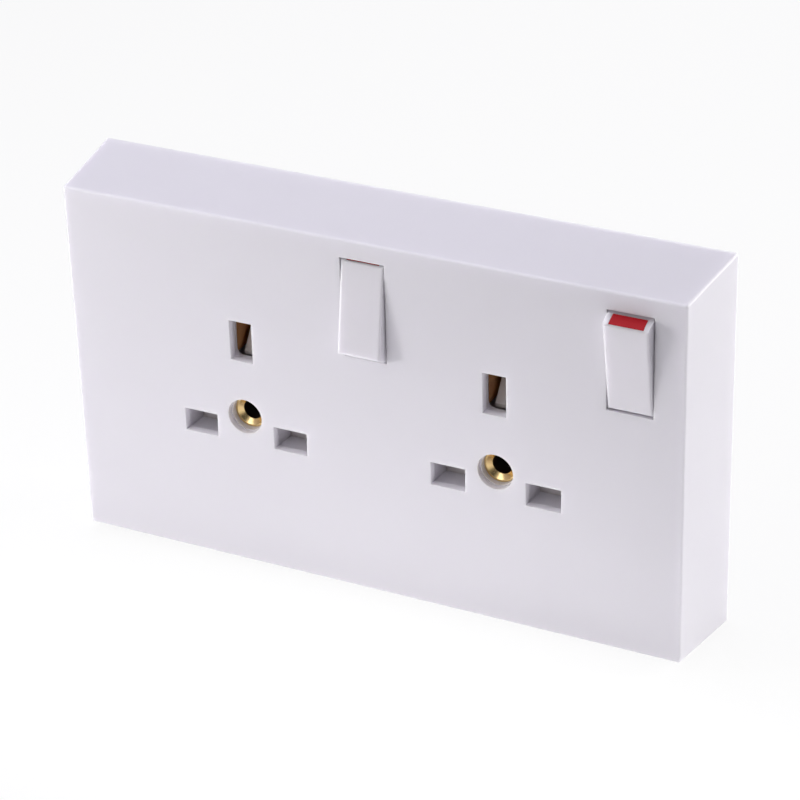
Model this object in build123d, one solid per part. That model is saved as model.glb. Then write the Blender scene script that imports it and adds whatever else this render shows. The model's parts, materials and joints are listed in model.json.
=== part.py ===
from build123d import *
import os
from math import cos, radians, sin, tan

# A switched wall converter with two three-pin outlets, in millimetres.
# X runs across the face, Y runs into the wall and Z is up. The origin lies on the wall plane,
# midway between the two fixing screws.

# Casing
FACE_W = 145.4            # width of the face
FACE_H = 84.8             # height of the face
DEPTH = 22.4              # face to wall
FLARE = 2.13              # each side moves out by this much from face to wall
PLATE_T = 2.4             # face plate
WALL_T = 2.2              # side walls
EDGE_R = 0.6              # outer edges
SCREW_DROP = 5.45         # screw line below the middle of the face
SCREW_PITCH = 60.3        # fixing screws, and with them the outlets

# Plug that the outlets take
PIN_SPREAD = 11.11        # line and neutral pins from the outlet's middle
PIN_RISE = 22.23          # earth pin above the line and neutral pins
PIN_T = 4.0               # thickness of every pin
EARTH_PIN_H = 8.0         # height of the earth pin
EARTH_PIN_L = 22.7        # length of the earth pin
PIN_GRIP = 0.4            # the contacts close up to the pin's thickness less this

# Slots in the face
ROW_DROP = 3.78           # line and neutral slots below the screw line
SLOT_W = 8.2
SLOT_H = 5.55
EARTH_W = 5.5
EARTH_H = 9.65
SLOT_LIP = 1.6            # depth of the lip at the mouth of each slot
LIP_DRAFT = 0.25          # the lip draws in by this on each side
SLOT_STEP = 0.35          # the slot widens by this behind the lip
SLOT_FALL = 0.6           # its floor and roof fall away by this from the lip to the rear
SHROUD_D = 7.8            # face to the inner end of the slots' shrouds
SHROUD_T = 1.2
EARTH_PAD_D = 3.2         # face to the back of the thick pad at the earth slot
EARTH_PAD_EDGE = 2.2
EARTH_CORNER_R = 1.5      # corners of the earth slot behind its lip

# Fixing bushes
BUSH_R = 3.8
BUSH_BORE_R = 2.3         # clears the wall box's screws
BUSH_RECESS = 2.8         # face to the bush
SINK_R = 3.35             # mouth of the countersink
COLLAR_R = 5.0
COLLAR_T = 1.0
HOLE_R = 4.18             # round hole in the face
HOLE_STEP = 1.5           # depth of that hole, before the sleeve that holds the bush
SLEEVE_T = 1.4
SEAT_GAP = 0.1            # round pieces in their seats

# Rocker switches
SWITCH_EDGE = 12.15       # right rocker in from the face's edge; the left one stands in the middle
SWITCH_DROP = 15.75       # rocker pivots below the face's upper edge
OPENING_W = 10.5
OPENING_H = 23.2
ROCKER_SIDE_GAP = 0.25
ROCKER_END_GAP = 0.2
PIVOT_D = 3.1             # face to rocker pivot
ROCKER_NOSE = 4.6         # pivot to the rocker's front
ROCKER_TAIL = 1.2         # pivot to the rear edge of its skirt
ROCKER_T = 1.5
ROCKER_EDGE_R = 0.55
ROCKER_TILT = 8.75        # degrees each way
TRUNNION_R = 1.2
TRUNNION_FIT = 0.05
CHEEK_GAP = 0.3           # opening to bearing cheek
CHEEK_T = 2.0
CHEEK_H = 7.4
CHEEK_REACH = 4.2         # cheek behind the pivot
STEM_R = 2.7
STEM_OUT = 4.0            # plunger beyond the stem
BORE_FLOOR = 1.5          # pivot to the floor of the stem's bore
PLUNGER_R = 1.6
PLUNGER_L = 7.0
PLUNGER_GAP = 0.2
FLASH_W = 7.6             # red field on the upper end
FLASH_T = 0.4
FLASH_FROM = 7.4          # degrees from the rocker's upright, towards its front
FLASH_TO = 21.7

# Rear cover
COVER_T = 2.0
COVER_RECESS = 0.6        # wall to the back of the cover
COVER_GAP = 0.25          # cover to the casing walls
WELL_T = 1.5              # wall of the earth pins' wells
WELL_GAP = 0.8            # earth pin to the well
PILLAR_T = 1.6            # ring behind the strap at each bush
POST_R = 1.0              # posts behind the shutters
BOSS_R = 3.2
COVER_SCREW_R = 1.4
COVER_SCREW_L = 11.0
COVER_HEAD_R = 2.7
COVER_HEAD_T = 1.2
THREAD_GAP = 0.05
SLOT_CUT_W = 0.8          # screwdriver slots
SLOT_CUT_D = 0.6
UPPER_BOSS_BESIDE = 14.3  # upper bosses from the right rocker
UPPER_BOSS_DROP = 6.85    # upper bosses below the face's upper edge
LOWER_BOSS_EDGE = 10.7    # lower bosses in from the face's side edges
LOWER_BOSS_RISE = 7.95    # lower bosses above the face's lower edge

# Brass strip
STRIP_T = 0.6
STRIP_W = 5.0
CLIP_W = 6.0
CLIP_GAP = 0.4            # shutter to the mouth of the line and neutral clips
CLIP_FLARE = 1.1          # the mouth opens by this on each side
BEND_R = 0.7
STRAP_RISE = 5.4          # earth strap in front of the cover
STRAP_DROP = 9.22         # cross runs of the strap and the neutral bar, below the slots' row
EARTH_LEAF_GAP = 5.6      # between the earth clip's leaves, in front of their bow
EARTH_LEAF_H = 8.4
EARTH_TAB_H = 5.6
DETOUR = 7.4              # right line strip passes this far beside the switch

# Switch contacts
SEESAW_T = 0.8
SEESAW_W = 5.2
SEESAW_L = 8.5            # each wing
SEESAW_BEND = 11.0        # degrees, each wing forwards
SEESAW_TILT = 7.0         # degrees each way
RIB_R = 0.8               # round rib that the see-saw rocks on
RIB_REACH = 4.2           # the rib's ends rest in the ears
EAR_X = 3.5
EAR_H = 4.4
NOTCH_GAP = 0.2
TIP_R = 1.5
TIP_T = 0.8
TIP_OUT = 6.5             # contact tip from the pivot
FIXED_TIP_T = 1.2
CONTACT_GAP = 0.05
STOP_W = 4.0
STOP_H = 3.0

# Shutters
SLIDE_GAP = 0.3
SHUTTER_T = 1.6
FLAP_LAP = 0.9            # flap past the slot, above and below
FLAP_SIDE = 0.8           # flap past the slots, at each side
LEG_W = 2.3
WINDOW_GAP = 0.5          # shutter to bush
YOKE_H = 2.6
OPEN_SPARE = 0.15         # travel beyond clearing the slot
RAMP_W = 4.4
RAMP_T = 3.6
RAMP_LOW = 4.92           # ramp's lower edge below the earth pin's middle
RAMP_REACH = 2.8          # the ramp's nose stands in front of the flaps
RAMP_NOSE = 0.8           # height of that blunt nose
RAMP_LEAN = 36.5          # degrees that the ramp leans back
SPRING_L = 11.0
SPRING_R = 1.3
SPRING_WIRE_R = 0.22
SPRING_TURNS = 5
PLUNGER_SPRING_TURNS = 4
WIRE_SIDES = 6            # flats round the thin spring wire
PEG_R = 0.75
PEG_L = 1.5
LEDGE_T = 1.6
GUIDE_T = 1.2
GUIDE_BELOW = 8.0         # guides reach this far below the flaps

# Terminals
TERMINAL_W = 8.0
TERMINAL_H = 9.0
TERMINAL_T = 8.4
TERMINAL_RECESS = 2.0     # wall to the back of the terminal block
WIRE_R = 2.1
CLAMP_R = 1.75
CLAMP_HEAD_R = 2.8
CLAMP_HEAD_T = 1.4
CLAMP_OPEN = 1.6          # the clamp screws stand open by this much
TONGUE_L = 2.0            # strip's tongue in the block
TERMINAL_DROP = 5.0       # tops of the neutral and earth blocks below the cross runs
NEUTRAL_BESIDE = -12.0    # neutral and earth blocks from the middle
EARTH_BESIDE = 4.0
LINE_BESIDE = 5.0         # line block from the left rocker
LINE_RISE = 15.28         # top of the line block above the slots' row
POCKET_W = 11.0
POCKET_H = 16.0           # pocket of the line block
POCKET_EDGE = 3.25        # the other pockets end this far above the face's lower edge
POCKET_T = 1.2
POCKET_GAP = 0.3          # block to the pocket

# Depths that follow from the sizes above
WALL_Y = 0.0
FRONT_Y = WALL_Y - DEPTH
PLATE_Y = FRONT_Y + PLATE_T
SHROUD_Y = FRONT_Y + SHROUD_D
EARTH_PAD_Y = FRONT_Y + EARTH_PAD_D
PIVOT_Y = FRONT_Y + PIVOT_D
BUSH_Y = FRONT_Y + BUSH_RECESS
COVER_REAR_Y = WALL_Y - COVER_RECESS
COVER_Y = COVER_REAR_Y - COVER_T
STRIP_Y = COVER_Y - STRIP_T
STRAP_REAR_Y = COVER_Y - STRAP_RISE
STRAP_Y = STRAP_REAR_Y - STRIP_T
SHUTTER_Y = SHROUD_Y + SLIDE_GAP
SHUTTER_REAR_Y = SHUTTER_Y + SHUTTER_T
CLIP_Y = SHUTTER_REAR_Y + CLIP_GAP
TERMINAL_REAR_Y = WALL_Y - TERMINAL_RECESS
TERMINAL_Y = TERMINAL_REAR_Y - TERMINAL_T

# Places across the face
FACE_SIDE = FACE_W / 2
FACE_TOP = SCREW_DROP + FACE_H / 2
FACE_LOW = SCREW_DROP - FACE_H / 2
OUTLETS = {"left": -SCREW_PITCH / 2, "right": SCREW_PITCH / 2}
SWITCHES = {"left": 0.0, "right": FACE_SIDE - SWITCH_EDGE}
SWITCH_RISE = FACE_TOP - SWITCH_DROP
NEUTRALS = {side: x - PIN_SPREAD for side, x in OUTLETS.items()}
LINES = {side: x + PIN_SPREAD for side, x in OUTLETS.items()}
THROAT_W = SLOT_W + 2 * (SLOT_STEP - LIP_DRAFT)
THROAT_H = SLOT_H + 2 * (SLOT_STEP - LIP_DRAFT)
ROW_Z = -ROW_DROP
EARTH_Z = ROW_Z + PIN_RISE
EARTH_PIN_LOW = EARTH_Z - EARTH_PIN_H / 2
ROCKER_R = OPENING_H / 2 - ROCKER_END_GAP
ROCKER_W = OPENING_W - 2 * ROCKER_SIDE_GAP
UPPER_BOSS = (SWITCHES["right"] - UPPER_BOSS_BESIDE, FACE_TOP - UPPER_BOSS_DROP)
LOWER_BOSS = (FACE_SIDE - LOWER_BOSS_EDGE, FACE_LOW + LOWER_BOSS_RISE)
BOSSES = [(hand * x, z) for x, z in (UPPER_BOSS, LOWER_BOSS) for hand in (-1, 1)]

# Terminal blocks: middle and top of each, and the lower end of its pocket
STRAP_ROW = ROW_Z - STRAP_DROP
TERMINALS = {
    "line": (SWITCHES["left"] + LINE_BESIDE, ROW_Z + LINE_RISE),
    "neutral": (NEUTRAL_BESIDE, STRAP_ROW - TERMINAL_DROP),
    "earth": (EARTH_BESIDE, STRAP_ROW - TERMINAL_DROP),
}
POCKET_LOWS = {name: FACE_LOW + POCKET_EDGE for name in ("neutral", "earth")}
POCKET_LOWS["line"] = TERMINALS["line"][1] + POCKET_GAP - POCKET_H

# Shutter levels, closed
FLAP_LOW = ROW_Z - SLOT_H / 2 - FLAP_LAP
FLAP_TOP = ROW_Z + SLOT_H / 2 + FLAP_LAP
FLAP_HALF = PIN_SPREAD + SLOT_W / 2 + FLAP_SIDE
WINDOW_HALF = BUSH_R + WINDOW_GAP
SHUTTER_TRAVEL = SLOT_H + FLAP_LAP + OPEN_SPARE
YOKE_LOW = WINDOW_HALF + SHUTTER_TRAVEL
RAMP_LOW_Z = EARTH_Z - RAMP_LOW
RAMP_TOP_Z = EARTH_PIN_LOW + SHUTTER_TRAVEL
RAMP_Y = SHUTTER_Y - RAMP_REACH
RAMP_REAR_Y = RAMP_Y + (RAMP_TOP_Z - RAMP_LOW_Z) * tan(radians(RAMP_LEAN))
SPRING_LOW_Z = FLAP_LOW - SPRING_L
SPRING_Y = (SHUTTER_Y + SHUTTER_REAR_Y) / 2


def tip_place(tip_t, tilt):
    """Depth and height, from the see-saw's pivot, of a point behind its upper wing at the contact tip."""
    bend = radians(SEESAW_BEND)
    behind = SEESAW_T / 2 + tip_t
    y = behind * cos(bend) - TIP_OUT * sin(bend) - SEESAW_T / 2
    z = behind * sin(bend) + TIP_OUT * cos(bend)
    turn = radians(tilt)
    return y * cos(turn) - z * sin(turn), y * sin(turn) + z * cos(turn)


# Switch contacts: the moving tip just meets the fixed one when the switch is on
TIP_LEAN = TIP_R * sin(radians(SEESAW_BEND - SEESAW_TILT))
TIP_Y, TIP_Z = tip_place(TIP_T, -SEESAW_TILT)
SEESAW_Y = STRIP_Y - FIXED_TIP_T - CONTACT_GAP - TIP_LEAN - TIP_Y
FIXED_TIP_Z = SWITCH_RISE + TIP_Z
STOP_LEAN = STOP_H / 2 * sin(radians(SEESAW_BEND - SEESAW_TILT))
STOP_Y = SEESAW_Y + tip_place(0, -SEESAW_TILT)[0] + STOP_LEAN + CONTACT_GAP
PLUNGER_END = SEESAW_Y - SEESAW_T - PLUNGER_GAP - PIVOT_Y
STEM_END = PLUNGER_END - STEM_OUT


def plate(outline, y_front, y_rear):
    """Front-view outline given a thickness between two depths."""
    return extrude(Plane.XZ.offset(-y_rear) * outline, y_rear - y_front)


def span(x0, x1, z0, z1):
    """Front-view rectangle between two sides and two levels."""
    return Pos((x0 + x1) / 2, (z0 + z1) / 2) * Rectangle(x1 - x0, z1 - z0)


def band(x, width, z0, z1):
    """Front-view rectangle of a width centred on x, between two levels."""
    return span(x - width / 2, x + width / 2, z0, z1)


def disc(radius, x, z):
    """Front-view circle."""
    return Pos(x, z) * Circle(radius)


def side_profile(outline, x, width):
    """Side-view outline (depth across, height up) given a width centred on x."""
    return extrude(Plane.YZ.offset(x - width / 2) * outline, width)


def sheet(points, bend_r=BEND_R):
    """Bent sheet seen on its edge: a centre line with rounded bends, given the strip's thickness."""
    return trace(FilletPolyline(*points, radius=bend_r), line_width=STRIP_T)


def casing_section(y, inset):
    """Front-view rectangle of the flared casing at a depth, drawn in from its outer skin."""
    grow = FLARE * (y - FRONT_Y) / DEPTH - inset
    return Pos(0, SCREW_DROP) * Rectangle(FACE_W + 2 * grow, FACE_H + 2 * grow)


def flared_block(y_front, y_rear, inset):
    """Solid that follows the casing's flare between two depths."""
    ends = [Plane.XZ.offset(-y) * casing_section(y, inset) for y in (y_front, y_rear)]
    return loft(ends)


def coil(x, y, z0, z1, radius, turns):
    """Upright compression spring between two levels."""
    rise = z1 - z0 - 2 * SPRING_WIRE_R
    path = Pos(x, y, z0 + SPRING_WIRE_R) * Helix(rise / turns, rise, radius)
    wire = Plane(path @ 0, z_dir=path % 0) * RegularPolygon(SPRING_WIRE_R, WIRE_SIDES)
    return sweep(wire, path=path, is_frenet=True)


def slotted_screw(x, z, y_head, head_r, head_t, shank_r, shank_l):
    """Cheese-head screw driven in from behind, its head's rear face at y_head."""
    screw = plate(disc(head_r, x, z), y_head - head_t, y_head)
    screw += plate(disc(shank_r, x, z), y_head - head_t - shank_l, y_head - head_t)
    driver_slot = band(x, 2 * head_r, z - SLOT_CUT_W / 2, z + SLOT_CUT_W / 2)
    return screw - plate(driver_slot, y_head - SLOT_CUT_D, y_head)


def slot_places(x):
    """Middles of an outlet's line and neutral slots."""
    return [(x - PIN_SPREAD, ROW_Z), (x + PIN_SPREAD, ROW_Z)]


def outlet_inside(x):
    """What stands behind the face at one outlet: shrouds, earth pad, bush sleeve and shutter guides."""
    shroud_w = THROAT_W + 2 * SHROUD_T
    shroud_h = THROAT_H + 2 * (SLOT_FALL + SHROUD_T)
    outlines = Pos(x, 0) * Circle(BUSH_R + SEAT_GAP + SLEEVE_T)
    for sx, sz in slot_places(x):
        outlines += Pos(sx, sz) * Rectangle(shroud_w, shroud_h)
    inside = plate(outlines, PLATE_Y, SHROUD_Y)
    pad = Pos(x, EARTH_Z) * Rectangle(EARTH_W + 2 * EARTH_PAD_EDGE, EARTH_H + 2 * EARTH_PAD_EDGE)
    inside += plate(pad, PLATE_Y, EARTH_PAD_Y)
    inner = FLAP_HALF + SLIDE_GAP
    guide_y = SHUTTER_REAR_Y - SLIDE_GAP
    for hand in (-1, 1):
        rail = sorted((x + hand * inner, x + hand * (inner + GUIDE_T)))
        stop = sorted((x + hand * (FLAP_HALF - FLAP_SIDE), x + hand * (inner + GUIDE_T)))
        guide = span(*rail, FLAP_LOW - GUIDE_BELOW, FLAP_TOP + SEAT_GAP)
        guide += span(*stop, FLAP_TOP + SEAT_GAP, FLAP_TOP + SEAT_GAP + GUIDE_T)
        inside += plate(guide, PLATE_Y, guide_y)
    ledge = band(x, 4 * SPRING_R, SPRING_LOW_Z - LEDGE_T, SPRING_LOW_Z)
    inside += plate(ledge, PLATE_Y, SHUTTER_REAR_Y + SPRING_R)
    return inside + Pos(x, SPRING_Y, SPRING_LOW_Z + PEG_L / 2) * Cylinder(PEG_R, PEG_L)


def funnel(x, z, front, rear, y_front, y_rear):
    """Opening that goes from one rectangle (width, height) to another between two depths."""
    ends = [(front, y_front), (rear, y_rear)]
    return loft([Plane.XZ.offset(-y) * Pos(x, z) * Rectangle(*size) for size, y in ends])


def lip(x, z, width, height):
    """Mouth of a slot, drawn in towards the rear."""
    drawn_in = (width - 2 * LIP_DRAFT, height - 2 * LIP_DRAFT)
    return funnel(x, z, (width, height), drawn_in, FRONT_Y, FRONT_Y + SLOT_LIP)


def outlet_cuts(x):
    """Openings through the face at one outlet: three slots and the screw hole, each with its step."""
    lip_y = FRONT_Y + SLOT_LIP
    cuts = lip(x, EARTH_Z, EARTH_W, EARTH_H)
    for sx, sz in slot_places(x):
        cuts += lip(sx, sz, SLOT_W, SLOT_H)
        cuts += funnel(sx, sz, (THROAT_W, THROAT_H), (THROAT_W, THROAT_H + 2 * SLOT_FALL), lip_y, SHROUD_Y)
    earth = Pos(x, EARTH_Z) * RectangleRounded(EARTH_W, EARTH_H, EARTH_CORNER_R)
    cuts += plate(earth, lip_y, EARTH_PAD_Y)
    cuts += plate(disc(HOLE_R, x, 0), FRONT_Y, FRONT_Y + HOLE_STEP)
    return cuts + plate(disc(BUSH_R + SEAT_GAP, x, 0), FRONT_Y + HOLE_STEP, SHROUD_Y)


def switch_cheeks(x):
    """Two bearing cheeks beside a rocker's opening, with notches for its trunnions."""
    inner = OPENING_W / 2 + CHEEK_GAP
    low, top = SWITCH_RISE - CHEEK_H / 2, SWITCH_RISE + CHEEK_H / 2
    walls = span(x - inner - CHEEK_T, x - inner, low, top) + span(x + inner, x + inner + CHEEK_T, low, top)
    return plate(walls, PLATE_Y, PIVOT_Y + CHEEK_REACH)


def trunnion_notch(x):
    """Notch through both cheeks, open to the rear, round at the pivot."""
    fit = TRUNNION_R + TRUNNION_FIT
    outline = Pos(PIVOT_Y, SWITCH_RISE) * Circle(fit)
    outline += Pos(PIVOT_Y + CHEEK_REACH / 2, SWITCH_RISE) * Rectangle(CHEEK_REACH, 2 * fit)
    return side_profile(outline, x, OPENING_W + 2 * (CHEEK_GAP + CHEEK_T))


def front_casing():
    """Face and four flared walls in one moulding."""
    block = flared_block(FRONT_Y, WALL_Y, 0)
    rim_free = block.edges().filter_by(lambda edge: edge.center().Y < WALL_Y - EDGE_R)
    casing = fillet(rim_free, EDGE_R) - flared_block(PLATE_Y, WALL_Y, WALL_T)
    for x in OUTLETS.values():
        casing += outlet_inside(x)
    for x in SWITCHES.values():
        casing += switch_cheeks(x)
    for x, z in BOSSES:
        casing += plate(disc(BOSS_R, x, z), PLATE_Y, COVER_Y)
    for x in OUTLETS.values():
        casing -= outlet_cuts(x)
    for x in SWITCHES.values():
        opening = Pos(x, SWITCH_RISE) * Rectangle(OPENING_W, OPENING_H)
        casing -= plate(opening, FRONT_Y, PLATE_Y)
        casing -= trunnion_notch(x)
    for x, z in BOSSES:
        casing -= plate(disc(COVER_SCREW_R + THREAD_GAP, x, z), COVER_Y - COVER_SCREW_L, COVER_Y)
    return casing


def pocket_levels(name):
    """Inner lower and upper level of a terminal's pocket."""
    return POCKET_LOWS[name], TERMINALS[name][1] + POCKET_GAP


def rear_cover():
    """Back moulding: a flared lid with terminal pockets, earth wells, pillars, posts and switch stops."""
    floor_y = TERMINAL_Y - POCKET_GAP
    cover = flared_block(COVER_Y, COVER_REAR_Y, WALL_T + COVER_GAP)
    well_w = PIN_T + 2 * WELL_GAP
    well_h = EARTH_PIN_H + 2 * WELL_GAP
    well_y = FRONT_Y + EARTH_PIN_L + WELL_GAP
    for x in OUTLETS.values():
        cover += plate(disc(BUSH_R + SEAT_GAP + PILLAR_T, x, 0), STRAP_REAR_Y, COVER_Y)
        for hand in (-1, 1):
            post_x = x + hand * (WINDOW_HALF + LEG_W / 2)
            cover += plate(disc(POST_R, post_x, YOKE_LOW / 2), SHUTTER_REAR_Y + SLIDE_GAP, COVER_Y)
        well = Pos(x, EARTH_Z) * Rectangle(well_w + 2 * WELL_T, well_h + 2 * WELL_T)
        cover += plate(well, COVER_REAR_Y, well_y + WELL_T)
    for x in SWITCHES.values():
        stop_z = SWITCH_RISE - TIP_Z
        stop = band(x, STOP_W, stop_z - STOP_H / 2, stop_z + STOP_H / 2)
        cover += plate(stop, STOP_Y, COVER_Y)
    for name, (x, _) in TERMINALS.items():
        low, high = pocket_levels(name)
        pocket = band(x, POCKET_W + 2 * POCKET_T, low - POCKET_T, high + POCKET_T)
        cover += plate(pocket, floor_y - POCKET_T, COVER_Y)
    for name, (x, _) in TERMINALS.items():
        low, high = pocket_levels(name)
        cover -= plate(band(x, POCKET_W, low, high), floor_y, COVER_REAR_Y)
    for x in OUTLETS.values():
        cover -= plate(disc(BUSH_R + SEAT_GAP, x, 0), STRAP_REAR_Y, COVER_REAR_Y)
        cover -= plate(Pos(x, EARTH_Z) * Rectangle(well_w, well_h), COVER_Y, well_y)
    for x, z in BOSSES:
        cover -= plate(disc(COVER_SCREW_R + SEAT_GAP, x, z), COVER_Y, COVER_REAR_Y)
        cover -= plate(disc(COVER_HEAD_R + SEAT_GAP, x, z), COVER_REAR_Y - COVER_HEAD_T, COVER_REAR_Y)
    for name, (x, _) in TERMINALS.items():
        low, high = pocket_levels(name)
        front = STRAP_Y if name == "earth" else STRIP_Y
        slit = band(x, STRIP_W + 2 * SEAT_GAP, high, high + POCKET_T)
        cover -= plate(slit, front - SEAT_GAP, front + STRIP_T)
    return cover


def fixing_bush(x):
    """Turned brass bush with a countersunk mouth and a collar that clamps the earth strap."""
    body = plate(disc(BUSH_R, x, 0), BUSH_Y, WALL_Y)
    body += plate(disc(COLLAR_R, x, 0), STRAP_Y - COLLAR_T, STRAP_Y)
    body -= plate(disc(BUSH_BORE_R, x, 0), BUSH_Y, WALL_Y)
    sink = SINK_R - BUSH_BORE_R
    mouth = Plane.XZ.offset(-(BUSH_Y + sink)) * disc(BUSH_BORE_R, x, 0)
    return body - loft([mouth, Plane.XZ.offset(-BUSH_Y) * disc(SINK_R, x, 0)])


def earth_strap():
    """Flat brass strap that joins both bushes, both earth clips and the earth terminal."""
    low, high = STRAP_ROW - STRIP_W / 2, STRAP_ROW + STRIP_W / 2
    outline = span(OUTLETS["left"] - STRIP_W / 2, OUTLETS["right"] + STRIP_W / 2, low, high)
    leaf_low = EARTH_PIN_LOW - STRIP_T
    for x in OUTLETS.values():
        outline += band(x, STRIP_W, low, leaf_low - 2 * STRIP_T)
        outline += disc(COLLAR_R + STRIP_T, x, 0)
    outline += tongue("earth", STRAP_ROW)
    for x in OUTLETS.values():
        outline -= disc(BUSH_R + SEAT_GAP, x, 0)
    return plate(outline, STRAP_Y, STRAP_REAR_Y)


def tongue(name, from_z):
    """Front-view tongue from a strip's level down into a terminal block."""
    x, top = TERMINALS[name]
    return band(x, STRIP_W, top - TONGUE_L, from_z)


def earth_clip(x):
    """Earth contact: two bowed leaves on a bridge, with a tab that is riveted to the back of the strap."""
    straight = EARTH_LEAF_GAP / 2 + STRIP_T / 2
    bowed = (PIN_T - PIN_GRIP) / 2 + STRIP_T / 2
    front_y = EARTH_PAD_Y + SLIDE_GAP
    bow_y = (STRAP_REAR_Y + COVER_Y) / 2
    rear_y = COVER_Y - SLIDE_GAP
    leaf_low = EARTH_PIN_LOW - STRIP_T / 2
    clip = Part()
    for hand in (-1, 1):
        line = [(straight, front_y), (straight, RAMP_REAR_Y), (bowed, bow_y), (straight, rear_y)]
        leaf = extrude(sheet([(hand * across, y) for across, y in line], 2 * BEND_R), EARTH_LEAF_H)
        clip += Pos(x, 0, leaf_low) * leaf
    half = straight + STRIP_T / 2
    bridge = Pos(0, (STRAP_REAR_Y + rear_y) / 2) * Rectangle(2 * half, rear_y - STRAP_REAR_Y)
    clip += Pos(x, 0, leaf_low - STRIP_T) * extrude(bridge, STRIP_T)
    tab = band(x, STRIP_W, leaf_low - STRIP_T - EARTH_TAB_H, leaf_low)
    return clip + plate(tab, STRAP_REAR_Y, STRAP_REAR_Y + STRIP_T)


def pin_clip(x, base_y):
    """Folded clip for a lying pin: two bowed leaves that stand on a base whose rear face is at base_y."""
    closed = (PIN_T - PIN_GRIP) / 2 + STRIP_T / 2
    opened = closed + CLIP_FLARE
    floor_y = base_y - STRIP_T / 2
    neck_y = CLIP_Y + (floor_y - CLIP_Y) / 3
    upper = [(CLIP_Y, opened), (neck_y, closed), (floor_y, opened)]
    line = upper + [(y, -z) for y, z in reversed(upper)]
    return side_profile(Pos(0, ROW_Z) * sheet(line), x, CLIP_W)


def line_contact(side):
    """Line strip of one outlet: a clip at the line slot and a flat run to the switch's fixed contact."""
    x, switch_x = LINES[side], SWITCHES[side]
    half = STRIP_W / 2
    run_x = x if side == "left" else switch_x + DETOUR
    outline = span(min(x, run_x) - half, max(x, run_x) + half, ROW_Z - half, ROW_Z + half)
    outline += band(run_x, STRIP_W, ROW_Z, FIXED_TIP_Z)
    ends = sorted((run_x, switch_x))
    outline += span(ends[0] - half, ends[1] + half, FIXED_TIP_Z - half, FIXED_TIP_Z + half)
    return plate(outline, STRIP_Y, COVER_Y) + pin_clip(x, COVER_Y)


def fixed_tips():
    """Fixed contact tips, one at each switch."""
    tips = Part()
    for x in SWITCHES.values():
        tips += plate(disc(TIP_R, x, FIXED_TIP_Z), STRIP_Y - FIXED_TIP_T, STRIP_Y)
    return tips


def line_busbar():
    """Line bar from its terminal to both switches, with pairs of ears that carry the see-saws."""
    half = STRIP_W / 2
    end = EAR_X + STRIP_T / 2
    outline = span(SWITCHES["left"] - end, SWITCHES["right"] + end, SWITCH_RISE - half, SWITCH_RISE + half)
    outline += tongue("line", SWITCH_RISE)
    bar = plate(outline, STRIP_Y, COVER_Y)
    notch_r = RIB_R + NOTCH_GAP
    ear_d = SEESAW_T + NOTCH_GAP
    notch = Circle(notch_r) + Pos(-ear_d / 2, 0) * Rectangle(ear_d, 2 * notch_r)
    for x in SWITCHES.values():
        for ear_x in (x - EAR_X, x + EAR_X):
            ear = band(ear_x, STRIP_T, SWITCH_RISE - EAR_H / 2, SWITCH_RISE + EAR_H / 2)
            bar += plate(ear, SEESAW_Y - ear_d, STRIP_Y)
            bar -= side_profile(Pos(SEESAW_Y, SWITCH_RISE) * notch, ear_x, STRIP_T)
    return bar


def neutral_busbar():
    """Neutral bar between both neutral slots, with a tongue to its terminal."""
    half = STRIP_W / 2
    outline = span(NEUTRALS["left"] - half, NEUTRALS["right"] + half, STRAP_ROW - half, STRAP_ROW + half)
    for x in NEUTRALS.values():
        outline += band(x, STRIP_W, STRAP_ROW, ROW_Z + half)
    return plate(outline + tongue("neutral", STRAP_ROW), STRIP_Y, COVER_Y)


def terminal_block(name, strip_y):
    """Brass block with a wire hole from below, a tapped hole from behind and a slot for the tongue."""
    x, top = TERMINALS[name]
    middle_y = (TERMINAL_Y + TERMINAL_REAR_Y) / 2
    clamp_z = top - TERMINAL_H / 2
    block = plate(band(x, TERMINAL_W, top - TERMINAL_H, top), TERMINAL_Y, TERMINAL_REAR_Y)
    block = chamfer(block.edges().filter_by(Axis.Y), STRIP_T)
    wire_l = TERMINAL_H - TONGUE_L - STRIP_T
    block -= Pos(x, middle_y, top - TERMINAL_H + wire_l / 2) * Cylinder(WIRE_R, wire_l)
    block -= plate(disc(CLAMP_R + THREAD_GAP, x, clamp_z), middle_y, TERMINAL_REAR_Y)
    slot = band(x, STRIP_W + 2 * THREAD_GAP, top - TONGUE_L - THREAD_GAP, top)
    return block - plate(slot, strip_y - THREAD_GAP, strip_y + STRIP_T + THREAD_GAP)


def terminal_screws():
    """Clamp screws of the three terminals, open, so that their ends leave the wire holes free."""
    screws = Part()
    reach = TERMINAL_T / 2 - WIRE_R - SEAT_GAP + CLAMP_OPEN
    head_y = TERMINAL_REAR_Y + CLAMP_OPEN + CLAMP_HEAD_T
    for x, top in TERMINALS.values():
        screws += slotted_screw(x, top - TERMINAL_H / 2, head_y, CLAMP_HEAD_R, CLAMP_HEAD_T, CLAMP_R, reach)
    return screws


def cover_screws():
    """Screws that hold the rear cover to the casing's bosses."""
    screws = Part()
    shank = COVER_SCREW_L - COVER_HEAD_T
    for x, z in BOSSES:
        screws += slotted_screw(x, z, COVER_REAR_Y, COVER_HEAD_R, COVER_HEAD_T, COVER_SCREW_R, shank)
    return screws


def flash_field(gap):
    """Red field on the rocker's upper end, as a thin curved inlay about the pivot."""
    reach = 2 * ROCKER_R
    angles = [radians(FLASH_FROM) - gap / ROCKER_R, radians(FLASH_TO) + gap / ROCKER_R]
    corners = [(0, 0)] + [(-reach * sin(a), reach * cos(a)) for a in angles]
    sector = make_face(Polyline(*corners, close=True))
    ring = Circle(ROCKER_R) - Circle(ROCKER_R - FLASH_T - gap)
    return side_profile(ring & sector, 0, FLASH_W + 2 * gap)


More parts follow.
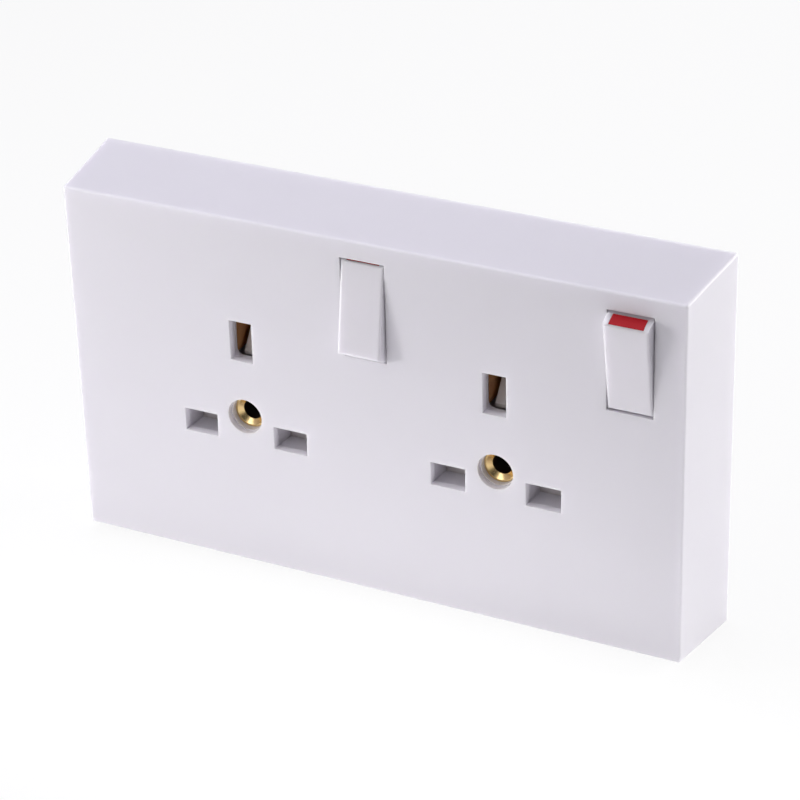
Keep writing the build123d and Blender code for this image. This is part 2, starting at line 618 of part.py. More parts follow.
def rocker():
    """Rocker about its own pivot, upright: curved ends, hollow skirt, trunnions and a stem with a bore."""
    length = ROCKER_NOSE + ROCKER_TAIL
    outside = Circle(ROCKER_R) & Pos(length / 2 - ROCKER_NOSE, 0) * Rectangle(length, 2 * ROCKER_R)
    body = side_profile(outside, 0, ROCKER_W)
    front = body.faces().sort_by(Axis.Y)[0]
    body = fillet(front.edges(), ROCKER_EDGE_R)
    deep = length - ROCKER_T
    inside = Circle(ROCKER_R - ROCKER_T) & Pos(ROCKER_TAIL - deep / 2, 0) * Rectangle(deep, 2 * ROCKER_R)
    body -= side_profile(inside, 0, ROCKER_W - 2 * ROCKER_T)
    body += plate(Circle(STEM_R), ROCKER_T - ROCKER_NOSE, STEM_END)
    trunnion_l = OPENING_W + 2 * (CHEEK_GAP + CHEEK_T - ROCKER_SIDE_GAP)
    body += Rot(Y=90) * Cylinder(TRUNNION_R, trunnion_l)
    body -= plate(Circle(PLUNGER_R + SEAT_GAP), BORE_FLOOR, STEM_END)
    return body - flash_field(THREAD_GAP)


def plunger():
    """Round-ended plunger in the rocker's stem."""
    body = plate(Circle(PLUNGER_R), PLUNGER_END - PLUNGER_L, PLUNGER_END - PLUNGER_R)
    return body + Pos(0, PLUNGER_END - PLUNGER_R, 0) * Sphere(PLUNGER_R)


def plunger_spring():
    """Spring between the floor of the stem's bore and the plunger."""
    return Rot(X=-90) * coil(0, 0, BORE_FLOOR, PLUNGER_END - PLUNGER_L, SPRING_R, PLUNGER_SPRING_TURNS)


def seesaw():
    """Moving contact about its own pivot, level: a strip bent to a shallow V, on a round rib."""
    bend = radians(SEESAW_BEND)
    wing = (-SEESAW_T / 2 - SEESAW_L * sin(bend), SEESAW_L * cos(bend))
    line = [wing, (-SEESAW_T / 2, 0), (wing[0], -wing[1])]
    strip = side_profile(trace(Polyline(*line), line_width=SEESAW_T), 0, SEESAW_W)
    return strip + Rot(Y=90) * Cylinder(RIB_R, 2 * RIB_REACH)


def moving_tip():
    """Contact tip behind the see-saw's upper wing."""
    tip = plate(disc(TIP_R, 0, TIP_OUT), SEESAW_T / 2, SEESAW_T / 2 + TIP_T)
    return Pos(0, -SEESAW_T / 2, 0) * Rot(X=SEESAW_BEND) * tip


def shutter(x):
    """Sliding shutter: flaps behind both slots, a frame round the bush and a ramp behind the earth slot."""
    leg = WINDOW_HALF + LEG_W
    yoke_top = YOKE_LOW + YOKE_H
    outline = band(x, 2 * FLAP_HALF, FLAP_LOW, FLAP_TOP) + band(x, 2 * leg, FLAP_LOW, yoke_top)
    outline -= band(x, 2 * WINDOW_HALF, -WINDOW_HALF, YOKE_LOW)
    body = plate(outline, SHUTTER_Y, SHUTTER_REAR_Y)
    ramp = [
        (RAMP_Y, RAMP_LOW_Z - RAMP_NOSE),
        (RAMP_Y, RAMP_LOW_Z),
        (RAMP_REAR_Y, RAMP_TOP_Z),
        (RAMP_REAR_Y, RAMP_TOP_Z - RAMP_T),
        (SHUTTER_REAR_Y, YOKE_LOW),
        (SHUTTER_Y, YOKE_LOW),
        (SHUTTER_Y, RAMP_LOW_Z - RAMP_NOSE),
    ]
    body += side_profile(make_face(Polyline(*ramp, close=True)), x, RAMP_W)
    return body + Pos(x, SPRING_Y, FLAP_LOW - PEG_L / 2) * Cylinder(PEG_R, PEG_L)


# Every piece at its place: the left switch is off, the right switch is on
nodes = {
    "front_casing": front_casing(),
    "rear_cover": rear_cover(),
    "earth_strap": earth_strap(),
    "line_busbar": line_busbar(),
    "neutral_busbar": neutral_busbar(),
    "fixed_tips": fixed_tips(),
    "line_terminal": terminal_block("line", STRIP_Y),
    "neutral_terminal": terminal_block("neutral", STRIP_Y),
    "earth_terminal": terminal_block("earth", STRAP_Y),
    "terminal_screws": terminal_screws(),
    "cover_screws": cover_screws(),
}
for side, x in OUTLETS.items():
    nodes["fixing_bush_" + side] = fixing_bush(x)
    nodes["earth_clip_" + side] = earth_clip(x)
    nodes["line_contact_" + side] = line_contact(side)
    nodes["neutral_clip_" + side] = pin_clip(NEUTRALS[side], STRIP_Y)
    nodes["shutter_" + side] = shutter(x)
    nodes["shutter_spring_" + side] = coil(x, SPRING_Y, SPRING_LOW_Z, FLAP_LOW, SPRING_R, SPRING_TURNS)

SWITCH_STATE = {"left": -1, "right": 1}
for side, x in SWITCHES.items():
    state = SWITCH_STATE[side]
    at_rocker = Pos(x, PIVOT_Y, SWITCH_RISE) * Rot(X=state * ROCKER_TILT)
    at_seesaw = Pos(x, SEESAW_Y, SWITCH_RISE) * Rot(X=-state * SEESAW_TILT)
    nodes["rocker_" + side] = at_rocker * rocker()
    nodes["on_flash_" + side] = at_rocker * flash_field(0)
    nodes["plunger_" + side] = at_rocker * plunger()
    nodes["plunger_spring_" + side] = at_rocker * plunger_spring()
    nodes["seesaw_" + side] = at_seesaw * seesaw()
    nodes["moving_tip_" + side] = at_seesaw * moving_tip()

os.makedirs("parts", exist_ok=True)
for name, solid in nodes.items():
    export_step(solid, "parts/" + name + ".step")
print(len(nodes), "pieces, shutter travel", round(SHUTTER_TRAVEL, 3))
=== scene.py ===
# %% [markdown]
# # A wall converter with two switched outlets
# The real object is a shallow white box that is screwed over a wall box and turns it into two switched
# outlets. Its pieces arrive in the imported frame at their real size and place, so this lesson dresses them:
# a finish for each material, round wire for the springs, then a studio and a camera.

# %% Load the frame
import json

import bpy
import numpy as np
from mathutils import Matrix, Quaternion, Vector


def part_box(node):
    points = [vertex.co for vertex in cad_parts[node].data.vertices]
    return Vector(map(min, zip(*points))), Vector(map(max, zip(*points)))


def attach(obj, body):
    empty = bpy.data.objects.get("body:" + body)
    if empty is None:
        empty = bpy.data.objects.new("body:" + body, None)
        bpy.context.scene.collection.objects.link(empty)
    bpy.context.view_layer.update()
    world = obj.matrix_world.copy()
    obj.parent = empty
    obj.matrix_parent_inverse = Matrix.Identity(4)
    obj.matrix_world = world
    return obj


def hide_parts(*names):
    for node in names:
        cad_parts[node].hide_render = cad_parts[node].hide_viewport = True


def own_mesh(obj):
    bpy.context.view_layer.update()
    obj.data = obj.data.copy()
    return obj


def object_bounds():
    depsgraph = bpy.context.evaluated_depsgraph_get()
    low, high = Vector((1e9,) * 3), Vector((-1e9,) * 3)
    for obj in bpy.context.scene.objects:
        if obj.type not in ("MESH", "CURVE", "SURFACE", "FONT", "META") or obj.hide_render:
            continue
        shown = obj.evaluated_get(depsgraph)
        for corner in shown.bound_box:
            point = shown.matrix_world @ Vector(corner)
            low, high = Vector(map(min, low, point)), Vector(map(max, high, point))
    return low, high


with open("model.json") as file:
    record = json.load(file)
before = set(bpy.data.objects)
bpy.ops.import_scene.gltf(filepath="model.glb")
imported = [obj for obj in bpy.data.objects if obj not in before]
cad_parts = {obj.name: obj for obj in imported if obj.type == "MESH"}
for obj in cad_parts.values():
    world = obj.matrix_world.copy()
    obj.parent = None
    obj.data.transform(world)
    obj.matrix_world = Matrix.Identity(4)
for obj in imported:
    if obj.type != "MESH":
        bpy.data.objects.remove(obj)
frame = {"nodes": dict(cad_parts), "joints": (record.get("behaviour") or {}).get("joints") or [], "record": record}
cad_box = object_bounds()
nodes = frame["nodes"]
joints = {joint["name"]: joint for joint in frame["joints"]}
MM = 0.001

# %% [markdown]
# ## Sums with sockets
# A finish is a small formula: a tone plus a little noise, a groove that repeats with the radius. It could
# be wired by hand, node by node, but a formula reads better as a formula. The class below wraps one output
# socket, so that `1 - mask` or `0.3 + 0.1 * grain` adds its own Math nodes. Every other kind of node comes
# from its one method.

# %% A socket that takes part in Python sums
class Wire:
    """An output socket of a shader node. A sum of wires and numbers adds Math nodes to the same tree."""

    def __init__(self, tree, socket):
        self.tree = tree
        self.socket = socket

    @classmethod
    def node(cls, tree, kind, settings=None, inputs=None, output=0):
        """Adds one node: its settings first, then a number or a wire for each named input."""
        made = tree.nodes.new("ShaderNode" + kind)
        for name, value in (settings or {}).items():
            setattr(made, name, value)
        for name, value in (inputs or {}).items():
            if isinstance(value, Wire):
                tree.links.new(value.socket, made.inputs[name])
            else:
                made.inputs[name].default_value = value
        return cls(tree, made.outputs[output])

    def maths(self, operation, *values):
        """A Math node on these values, in their order."""
        return Wire.node(self.tree, "Math", {"operation": operation}, dict(enumerate(values)))

    def __add__(self, other):
        return self.maths("ADD", self, other)

    def __radd__(self, other):
        return self.maths("ADD", other, self)

    def __sub__(self, other):
        return self.maths("SUBTRACT", self, other)

    def __rsub__(self, other):
        return self.maths("SUBTRACT", other, self)

    def __mul__(self, other):
        return self.maths("MULTIPLY", self, other)

    def __rmul__(self, other):
        return self.maths("MULTIPLY", other, self)

    def __pow__(self, other):
        return self.maths("POWER", self, other)

    def __abs__(self):
        return self.maths("ABSOLUTE", self)


print("sums with sockets are ready")

# %% [markdown]
# ## Reading the surface
# Every pattern here is placed by Object coordinates. Each piece sits at the origin with its place in its
# mesh, so these coordinates are metres in the object's own frame, and a scale of 1000 per metre means
# features of about a millimetre. Image textures would need a UV map for each piece, and would blur at the
# edges of a slot.

# %% Coordinates, noise and relief
PLAIN = 1.0
CLOUDY = 2.0
GRAINY = 3.0
MIX_LOW = 6
MIX_HIGH = 7
MIX_COLOUR = 2


def place_on(tree):
    """Object coordinates, in metres."""
    return Wire.node(tree, "TexCoord", output="Object")


def axis_of(place, name):
    """One coordinate of a place."""
    return Wire.node(place.tree, "SeparateXYZ", inputs={"Vector": place}, output=name)


def noise(place, per_metre, detail):
    """Noise between 0 and 1, with about this many lumps to the metre. Detail puts finer lumps on them."""
    return Wire.node(place.tree, "TexNoise", inputs={"Vector": place, "Scale": per_metre, "Detail": detail})


def stretched(place, along):
    """A place with its coordinates multiplied, which draws noise out along the axis with the least."""
    return Wire.node(place.tree, "Mapping", inputs={"Vector": place, "Scale": along})


def between(share, low, high):
    """A colour that goes from low to high as the share goes from 0 to 1. Either end may itself be a wire."""
    ends = [end if isinstance(end, Wire) else (*end, 1.0) for end in (low, high)]
    colours = {"Factor": share, MIX_LOW: ends[0], MIX_HIGH: ends[1]}
    return Wire.node(share.tree, "Mix", {"data_type": "RGBA"}, colours, MIX_COLOUR)


def relief(height, depth):
    """A bump that lifts the surface by a height between 0 and 1, times a depth in metres."""
    return Wire.node(height.tree, "Bump", inputs={"Height": height, "Distance": depth}, output="Normal")


print("noise comes with", PLAIN, CLOUDY, "or", GRAINY, "steps of detail")

# %% [markdown]
# ## A finish
# Every piece has one skin: a colour, a gloss and a fine relief. Each could have a chain of shaders of its
# own, but one Principled shader serves plastic and metal alike, so one function can dress them all. What
# changes over the surface is linked to Base Color, Roughness and Normal, and what is the same everywhere
# is set on the shader's own sockets. Colours are written as they look on a screen and turned into linear
# light, which is what shaders add up.

# %% One function for every finish
SCREEN_WHITE = 255
SCREEN_GREY = 128
TOE_END = 0.04045
TOE_SLOPE = 12.92
CURVE_LIFT = 0.055
CURVE_POWER = 2.4
finishes = {}


def new_finish(slot):
    """A material named after the record's slot, and the tree that its pattern is built in."""
    material = bpy.data.materials.new(slot)
    material.use_nodes = True
    finishes[slot] = material
    return material.node_tree


def dress(tree, varied, **fixed):
    """Links the shader's varied sockets and sets the fixed ones, whose names have _ for a space."""
    shader = tree.nodes["Principled BSDF"]
    for name, wire in varied.items():
        tree.links.new(wire.socket, shader.inputs[name])
    for name, value in fixed.items():
        shader.inputs[name.replace("_", " ")].default_value = value


def linear(red, green, blue):
    """A screen colour, 0 to 255, as linear light: a straight line in the deep shades, then a power curve."""
    screen = np.array([red, green, blue]) / SCREEN_WHITE
    curve = ((screen + CURVE_LIFT) / (1 + CURVE_LIFT)) ** CURVE_POWER
    return tuple(np.where(screen <= TOE_END, screen / TOE_SLOPE, curve))


grey_light = linear(SCREEN_GREY, SCREEN_GREY, SCREEN_GREY)[0]
print("a screen grey of", SCREEN_GREY, "is", round(float(grey_light), 3), "of white in linear light")

# %% [markdown]
# ## Moulded plastic
# The casing, rockers, shutters, cover and plungers are mouldings. A polished mould leaves a satin skin:
# nearly one colour, a faint cloudiness where the melt flowed, and a grain far too fine to see except in
# the gloss. A flat colour would look like paper, so the grain goes into the bump and the roughness, and
# the clouds into the colour. Light also seeps a little way into the white casing and the rockers and comes
# out again beside, which softens edges and brightens slots. More lamps could brighten the slots too, but
# they would wash out the shade on the face.

# %% White, ivory and red mouldings
CLOUDS_PER_METRE = 45.0
GLOSS_SPREAD = 0.08
PLASTIC_IOR = 1.5
SEEP_DEPTH = 2.0 * MM
ALL_COLOURS_ALIKE = (1.0, 1.0, 1.0)


def moulding(slot, colour, roughness, grain_per_metre, grain_depth, cloud=0.03, gloss=0.5, seep=0.0):
    """Colour dims by up to cloud in soft patches. Grain lifts the skin and breaks up the gloss, whose
    strength is 0.5 on bare plastic and less on a pigmented, matt one. Seep is the share of the light that
    goes into the skin."""
    tree = new_finish(slot)
    place = place_on(tree)
    grain = noise(place, grain_per_metre, GRAINY)
    patches = noise(place, CLOUDS_PER_METRE, CLOUDY)
    dim = tuple((1 - cloud) * part for part in colour)
    varied = {
        "Base Color": between(patches, dim, colour),
        "Roughness": roughness - GLOSS_SPREAD / 2 + GLOSS_SPREAD * grain,
        "Normal": relief(grain, grain_depth),
    }
    dress(tree, varied, IOR=PLASTIC_IOR, Specular_IOR_Level=gloss)
    dress(tree, {}, Subsurface_Weight=seep, Subsurface_Radius=ALL_COLOURS_ALIKE, Subsurface_Scale=SEEP_DEPTH)


moulding("casing_white", linear(231, 228, 234),
         roughness=0.36, grain_per_metre=2400.0, grain_depth=0.006 * MM, seep=1.0)
moulding("rocker_white", linear(234, 230, 237),
         roughness=0.42, grain_per_metre=3000.0, grain_depth=0.004 * MM, seep=1.0)
moulding("flash_red", linear(186, 22, 34),
         roughness=0.50, grain_per_metre=2600.0, grain_depth=0.006 * MM, cloud=0.10, gloss=0.12)
moulding("shutter_ivory", linear(240, 234, 232),
         roughness=0.50, grain_per_metre=2200.0, grain_depth=0.010 * MM)
moulding("cover_white", linear(228, 227, 230),
         roughness=0.50, grain_per_metre=1500.0, grain_depth=0.030 * MM)
moulding("plunger_nylon", linear(232, 229, 214),
         roughness=0.40, grain_per_metre=1800.0, grain_depth=0.008 * MM, cloud=0.06)
mouldings = list(finishes)
print("mouldings:", ", ".join(mouldings))

# %% [markdown]
# ## Turned brass
# Each fixing bush is turned from brass bar, and its tool leaves rings. Rings could be cut into the mesh,
# but they are too fine for that, so they go into the bump. On a cone they need a coordinate that runs down
# the slope: the distance from the bush's axis less the depth does, on the flat end, on the cone and in the
# bore. Both bushes share the formula, because the axis stands as far to the left as to the right. The bore
# is drilled, not turned: it stays dull, and its colour is painted dark as painted shade in the hole, so the
# radius also picks it out.

# %% Brass with turning rings
bush_low, bush_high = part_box("fixing_bush_right")
BUSH_X = (bush_low.x + bush_high.x) / 2
screws = next(mount for mount in frame["record"]["mounts"] if mount["name"] == "wall_screws")
BORE_R = screws["dims"]["hole_r_mm"] * MM
BORE_EDGE = 0.04 * MM
RINGS_PER_METRE = 9000.0
RING_DEPTH = 0.004 * MM
STAINS_PER_METRE = 500.0
GROOVE_ROUGHNESS = 0.16
RING_DULLING = 0.16
BORE_DULLING = 0.4
BRASS_STAINED = linear(220, 186, 126)
BRASS_CLEAN = linear(240, 214, 160)
# painted shade: the bore's colour is darkened to stand for the shade deep in the hole
BORE_PAINTED_SHADE = linear(52, 42, 30)


def turned_brass():
    """Rings of noise down the slope lift the skin and dull it where they lift it most. The bore is dull and
    painted dark, as painted shade in the hole.
    """
    tree = new_finish("bush_brass")
    place = place_on(tree)
    across = abs(axis_of(place, "X")) - BUSH_X
    radius = (across ** 2.0 + axis_of(place, "Z") ** 2.0) ** 0.5
    # 1 in the bore: it makes the bore dull and gives it the painted shade colour
    bore_dull_and_shaded = radius.maths("LESS_THAN", radius, BORE_R + BORE_EDGE)
    slope = radius - axis_of(place, "Y")
    line = Wire.node(tree, "CombineXYZ", inputs={"X": slope})
    rings = noise(line, RINGS_PER_METRE, PLAIN)
    stain = noise(place, STAINS_PER_METRE, GRAINY)
    bright = between(stain, BRASS_STAINED, BRASS_CLEAN)
    varied = {
        "Base Color": between(bore_dull_and_shaded, bright, BORE_PAINTED_SHADE),
        "Roughness": GROOVE_ROUGHNESS + RING_DULLING * rings + BORE_DULLING * bore_dull_and_shaded,
        "Normal": relief(rings, RING_DEPTH),
    }
    dress(tree, varied, Metallic=1.0)


turned_brass()
print("bush axis at", round(BUSH_X / MM, 2), "mm each side of the middle")
print("bush bore", round(2 * BORE_R / MM, 2), "mm")

# %% [markdown]
# ## Pressed brass, plated steel, spring wire and silver
# Brass strip is rolled, so its scratches run one way and its colour is duller than a turned face. Zinc
# plate is grey and cloudy, spring wire is drawn dark, and contact silver is pale with a brown bloom. A
# picture of brushed metal would do for one flat face, but these pieces are folded, coiled or turned. All
# four are the same recipe: noise drawn out along the working direction, in the roughness and a shallow
# bump.

# %% Worked metals
SCRATCHES_PER_METRE = 1500.0
SCRATCH_SPREAD = 0.2
BLOOMS_PER_METRE = 260.0


def worked_metal(slot, dark, bright, roughness, draw, depth):
    """Metal between two tones, with scratches that run along the axis that draw multiplies least."""
    tree = new_finish(slot)
    place = place_on(tree)
    scratches = noise(stretched(place, draw), SCRATCHES_PER_METRE, GRAINY)
    bloom = noise(place, BLOOMS_PER_METRE, GRAINY)
    varied = {
        "Base Color": between(bloom, dark, bright),
        "Roughness": roughness - SCRATCH_SPREAD / 2 + SCRATCH_SPREAD * scratches,
        "Normal": relief(scratches, depth),
    }
    dress(tree, varied, Metallic=1.0)


worked_metal("strip_brass", linear(176, 122, 80), linear(214, 166, 106),
             roughness=0.36, draw=(0.06, 1.0, 1.0), depth=0.004 * MM)
worked_metal("plated_steel", linear(168, 170, 172), linear(206, 207, 204),
             roughness=0.32, draw=(1.0, 0.2, 1.0), depth=0.004 * MM)
worked_metal("spring_steel", linear(120, 121, 124), linear(176, 176, 178),
             roughness=0.28, draw=(1.0, 1.0, 0.1), depth=0.002 * MM)
worked_metal("contact_silver", linear(176, 168, 158), linear(226, 224, 220),
             roughness=0.24, draw=(1.0, 1.0, 1.0), depth=0.002 * MM)
print("metals:", ", ".join(name for name in finishes if name not in mouldings))

# %% [markdown]
# ## Finishes on the pieces
# Each piece could be given its finish by hand, one after the other. Pieces of one kind share a finish,
# though, so the table below names each kind once, without its side, and a loop carries it over. What the
# table doesn't name is pressed from brass strip. Only the material changes: shape and shading stay as the
# frame brought them in.

# %% Give every piece its finish
FINISH_OF = {
    "front_casing": "casing_white",
    "rear_cover": "cover_white",
    "rocker": "rocker_white",
    "on_flash": "flash_red",
    "shutter": "shutter_ivory",
    "plunger": "plunger_nylon",
    "fixing_bush": "bush_brass",
    "shutter_spring": "spring_steel",
    "plunger_spring": "spring_steel",
    "terminal_screws": "plated_steel",
    "cover_screws": "plated_steel",
    "fixed_tips": "contact_silver",
    "moving_tip": "contact_silver",
}
for name, piece in nodes.items():
    kind = name.removesuffix("_left").removesuffix("_right")
    piece.data.materials.clear()
    piece.data.materials.append(finishes[FINISH_OF.get(kind, "strip_brass")])
print("dressed", len(nodes), "pieces")

# %% [markdown]
# ## Round wire for the springs
# Two springs push the shutters up and two push the plungers out of the rockers. In the frame they are
# plain coils with a six-sided wire. Here each one is a round wire carried along a helix whose first and
# last turns lie closed, as a spring winder leaves them. A curve with a bevel could do it too, but a grid
# of points shows the formula and needs no conversion.

# %% A wire wound into a spring
WIRE_R = 0.22 * MM
WIRE_SIDES = 12
STEPS_PER_TURN = 40
ACROSS = np.array([1.0, 0.0, 0.0])


def closed_tube(name, rings):
    """Tube over an array of rings (ring, point, coordinate): quads between rings, one face on each end."""
    count, sides = rings.shape[:2]
    at = np.arange(count * sides).reshape(count, sides)
    beside = np.roll(at, -1, axis=1)
    quads = np.stack([at[:-1], beside[:-1], beside[1:], at[1:]], axis=-1).reshape(-1, 4)
    mesh = bpy.data.meshes.new(name)
    mesh.from_pydata(rings.reshape(-1, 3), [], [*quads.tolist(), at[0, ::-1].tolist(), at[-1].tolist()])
    mesh.shade_smooth()
    piece = bpy.data.objects.new(name, mesh)
    bpy.context.scene.collection.objects.link(piece)
    return piece


def wound_wire(foot, along, length, radius, turns):
    """Rings of a wire on a helix. The angle grows evenly. The height grows by one wire thickness in the
    first and the last turn, and evenly between them. Each ring stands square to the wire."""
    turn = np.linspace(0.0, turns, turns * STEPS_PER_TURN + 1)
    end = 3 * WIRE_R
    height = np.interp(turn, [0, 1, turns - 1, turns], [WIRE_R, end, length - end, length - WIRE_R])
    angle = 2 * np.pi * turn[:, None]
    outward = np.cos(angle) * ACROSS + np.sin(angle) * np.cross(along, ACROSS)
    centre = foot + height[:, None] * along + radius * outward
    run = np.gradient(centre, axis=0)
    run /= np.linalg.norm(run, axis=1, keepdims=True)
    upward = np.cross(run, outward)
    around = np.linspace(0.0, 2 * np.pi, WIRE_SIDES, endpoint=False)[None, :, None]
    return centre[:, None] + WIRE_R * (np.cos(around) * outward[:, None] + np.sin(around) * upward[:, None])


def measured(node, origin, along):
    """Start and length of a node along a line through the origin, and its greatest distance from it."""
    points = np.empty(3 * len(nodes[node].data.vertices))
    nodes[node].data.vertices.foreach_get("co", points)
    offset = points.reshape(-1, 3) - origin
    height = offset @ along
    reach = np.linalg.norm(offset - height[:, None] * along, axis=1)
    return height.min(), np.ptp(height), reach.max()


print("a wire of", round(2 * WIRE_R / MM, 2), "mm with", WIRE_SIDES, "sides")

# %% [markdown]
# ## Springs that move
# The shutter springs stand upright in the casing and stay as wound when their shutter slides down. The
# plunger springs lie in the rockers' stems and turn with them, so their line is tilted by half of the
# rocker's range. A spring could be wound anew for each pose, but one that rides on its rocker is made once.

# %% Four springs
SHUTTER_TURNS = 7
PLUNGER_TURNS = 5
upright = np.array([0.0, 0.0, 1.0])


def spring(node, body, origin, along, turns):
    """Round-wire spring in the place of a node, with its lower end and its length."""
    start, length, reach = measured(node, origin, along)
    foot = origin + start * along
    piece = closed_tube(node + "_wire", wound_wire(foot, along, length, reach - WIRE_R, turns))
    piece.data.materials.append(finishes["spring_steel"])
    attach(piece, body)
    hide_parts(node)
    return piece, foot, length


for side in ("left", "right"):
    low, high = (np.array(corner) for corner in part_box("shutter_spring_" + side))
    middle = (low + high) / 2
    piece, foot, length = spring("shutter_spring_" + side, "casing", middle, upright, SHUTTER_TURNS)
    slide = joints[f"shutter_{side}_slide"]
    1 - slide["range_m"][1] / length
    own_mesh(piece)
    turn = joints[f"rocker_{side}_turn"]
    tilt = -np.radians(np.mean(turn["range_deg"]))
    stem = np.array([0.0, np.cos(tilt), np.sin(tilt)])
    spring("plunger_spring_" + side, "rocker_" + side, np.array(turn["pos_m"]), stem, PLUNGER_TURNS)
    print(side, "shutter spring", round(length / MM, 2), "mm long")
    print(side, "stem tilted", round(float(np.degrees(tilt)), 2), "degrees")

# %% [markdown]
# ## The studio
# The object stands on a pale floor under soft lamps. The background could be made white with more light,
# but that would wash out the object. By the Light Path node the sky is plain white to the lens alone, and
# it lends matt surfaces next to no light. Shiny metal sees a bright sky too, with one dark side in front
# at the right: brass looks like metal only where it has both light and dark to mirror.

# %% Floor and sky
SOFT_SKY = 0.03
SHINY_SKY = 0.80
DARK_SIDE = Vector((0.45, -0.70, 0.50)).normalized()
DARK_FROM = 0.80
DARKEST_FROM = 0.97
DARKEST = 0.1
WHITE = (1.0, 1.0, 1.0, 1.0)
FLOOR_SPAN = 6.0


def ray(tree, kind):
    """1 for rays of this kind, such as those from the lens or off a shiny surface, and 0 for all others."""
    return Wire.node(tree, "LightPath", output=f"Is {kind} Ray")


world = bpy.data.worlds.new("sky")
bpy.context.scene.world = world
world.use_nodes = True
sky = world.node_tree
sky.nodes["Background"].inputs["Color"].default_value = WHITE
toward = Wire.node(sky, "TexCoord", output="Generated")
facing = Wire.node(sky, "VectorMath", {"operation": "DOT_PRODUCT"}, {0: toward, 1: DARK_SIDE}, "Value")
fading = {"Value": facing, "From Min": DARK_FROM, "From Max": DARKEST_FROM, "To Min": 1.0, "To Max": DARKEST}
bright = Wire.node(sky, "MapRange", {"interpolation_type": "SMOOTHSTEP"}, fading)
shiny = SHINY_SKY * bright - SOFT_SKY
sky_light = SOFT_SKY + (1 - SOFT_SKY) * ray(sky, "Camera") + shiny * ray(sky, "Glossy")
sky.links.new(sky_light.socket, sky.nodes["Background"].inputs["Strength"])

floor_height = cad_box[0].z
square = np.array([(-1, -1, 0), (1, -1, 0), (1, 1, 0), (-1, 1, 0)])
corners = square * FLOOR_SPAN / 2 + (0, 0, floor_height)
floor_mesh = bpy.data.meshes.new("floor")
floor_mesh.from_pydata(corners, [], [(0, 1, 2, 3)])
floor = bpy.data.objects.new("floor", floor_mesh)
bpy.context.scene.collection.objects.link(floor)
floor_paint = bpy.data.materials.new("floor_paint")
floor_paint.use_nodes = True
floor_mesh.materials.append(floor_paint)
print("floor at", round(floor_height / MM, 2), "mm")

# %% [markdown]
# ## The floor's paint
# To the lens most of the floor's own look is replaced by plain white. The part that is left keeps a faint
# shadow under the object. The floor also glows in a pool along the object's foot, as a white table does
# under a strong lamp, and lights the lower part of the face from below. A lamp laid flat could do that
# too, but shiny pieces would mirror its square.

# %% Paint the floor
FLOOR_WHITE = 0.86
FLOOR_GLOW = 0.85
POOL_PLACE = (0.02, -0.065)
POOL_SPREAD = (0.10, 0.04)
POOL_LIGHT = 1.00
POOL_FADE = -1.5

paint = floor_paint.node_tree
paint.nodes.remove(paint.nodes["Principled BSDF"])
spot = place_on(paint)
along = ((axis_of(spot, "X") - POOL_PLACE[0]) * (1 / POOL_SPREAD[0])) ** 2.0
out = ((axis_of(spot, "Y") - POOL_PLACE[1]) * (1 / POOL_SPREAD[1])) ** 2.0
pool = Wire.node(paint, "Emission", inputs={"Strength": POOL_LIGHT * (1.0 + along + out) ** POOL_FADE})
matt = Wire.node(paint, "BsdfDiffuse", inputs={"Color": (FLOOR_WHITE, FLOOR_WHITE, FLOOR_WHITE, 1.0)})
table = Wire.node(paint, "AddShader", inputs={0: matt, 1: pool})
glow = Wire.node(paint, "Emission")
white = FLOOR_GLOW * (ray(paint, "Camera") + ray(paint, "Glossy"))
floor_look = Wire.node(paint, "MixShader", inputs={0: white, 1: table, 2: glow})
paint.links.new(floor_look.socket, paint.nodes["Material Output"].inputs["Surface"])
print("pool of light spreads over", POOL_SPREAD, "m of the floor")

# %% [markdown]
# ## Lamps
# Area lamps stand in for softboxes. One large picture of a studio could light everything at once, but
# single lamps let each wall of the box have its own tone. A window far to the left and a small lamp near
# by on the same side light the face, so it is brightest at its lower left and a proud rocker throws its
# shade to the right. The side lamp stands behind the face at the right and lights the right-hand wall. The
# top lamp stands above and a little behind, and is cooler than the rest. Two gentler lamps in front and
# above reach into the slots, and one at the back shows the terminals.

# %% Seven soft lamps
NEUTRAL = (1.0, 1.0, 1.0)
COOL = (0.88, 0.87, 1.0)
FACE = (0.0, -0.02, 0.0)
RIGHT_WALL = (0.07, -0.01, 0.0)
TOP_WALL = (0.0, 0.0, 0.04)
MIDDLE = (0.0, 0.0, 0.0)


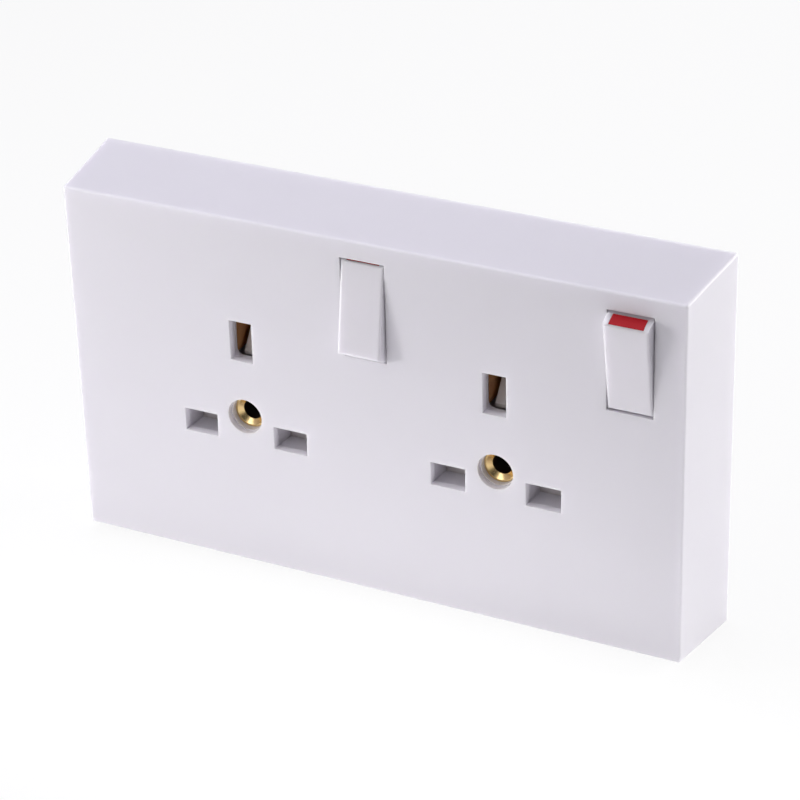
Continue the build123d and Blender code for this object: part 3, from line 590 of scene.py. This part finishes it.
def soft_lamp(name, place, aim, size, power, colour=NEUTRAL):
    """A square area lamp that looks from its place towards its aim and stays out of the lens."""
    lamp = bpy.data.lights.new(name, "AREA")
    lamp.size = size
    lamp.energy = power
    lamp.color = colour
    holder = bpy.data.objects.new(name, lamp)
    holder.location = place
    holder.rotation_mode = "QUATERNION"
    holder.rotation_quaternion = (Vector(aim) - Vector(place)).to_track_quat("-Z", "Y")
    holder.visible_camera = False
    bpy.context.scene.collection.objects.link(holder)
    return holder


lamps = [
    soft_lamp("window_lamp", (-0.90, -0.25, 0.10), FACE, size=0.60, power=3.2),
    soft_lamp("table_lamp", (-0.30, -0.24, 0.02), FACE, size=0.10, power=0.45),
    soft_lamp("side_lamp", (0.65, 0.40, 0.20), RIGHT_WALL, size=0.45, power=4.95),
    soft_lamp("top_lamp", (-0.15, 0.10, 0.60), TOP_WALL, size=0.40, power=2.08, colour=COOL),
    soft_lamp("fill_lamp", (-0.20, -0.35, 0.75), MIDDLE, size=0.50, power=1.5),
    soft_lamp("front_lamp", (-0.10, -0.80, 0.45), FACE, size=0.60, power=0.8),
    soft_lamp("rear_lamp", (-0.15, 0.60, 0.0), MIDDLE, size=0.25, power=0.7),
]
print("lamps:", ", ".join(lamp.name for lamp in lamps))

# %% [markdown]
# ## The camera
# A long lens stands to the right, above and in front. It could be placed by eye, but its place was worked
# out from the slots, bushes and outer edges in the photograph, so that they fall on the same spots. It
# leans a little about its own axis.

# %% Camera at the photograph's angle
CAMERA_PLACE = Vector((0.26202, -0.52019, 0.31827))
CAMERA_AIM = Vector((0.00811, -0.0224, 0.01256))
CAMERA_ROLL = -0.0293
FOCAL_LENGTH_MM = 135.07
SENSOR_WIDTH_MM = 36.0
NEAREST_SEEN = 0.01
LENS_AXIS = (0.0, 0.0, 1.0)

lens = bpy.data.cameras.new("camera")
lens.lens = FOCAL_LENGTH_MM
lens.sensor_width = SENSOR_WIDTH_MM
lens.clip_start = NEAREST_SEEN
camera = bpy.data.objects.new("camera", lens)
camera.location = CAMERA_PLACE
camera.rotation_mode = "QUATERNION"
level = (CAMERA_AIM - CAMERA_PLACE).to_track_quat("-Z", "Y")
camera.rotation_quaternion = level @ Quaternion(LENS_AXIS, CAMERA_ROLL)
bpy.context.scene.collection.objects.link(camera)
bpy.context.scene.camera = camera
bpy.context.scene.view_settings.view_transform = "Standard"
print("camera stands", round((CAMERA_AIM - CAMERA_PLACE).length, 3), "m away")
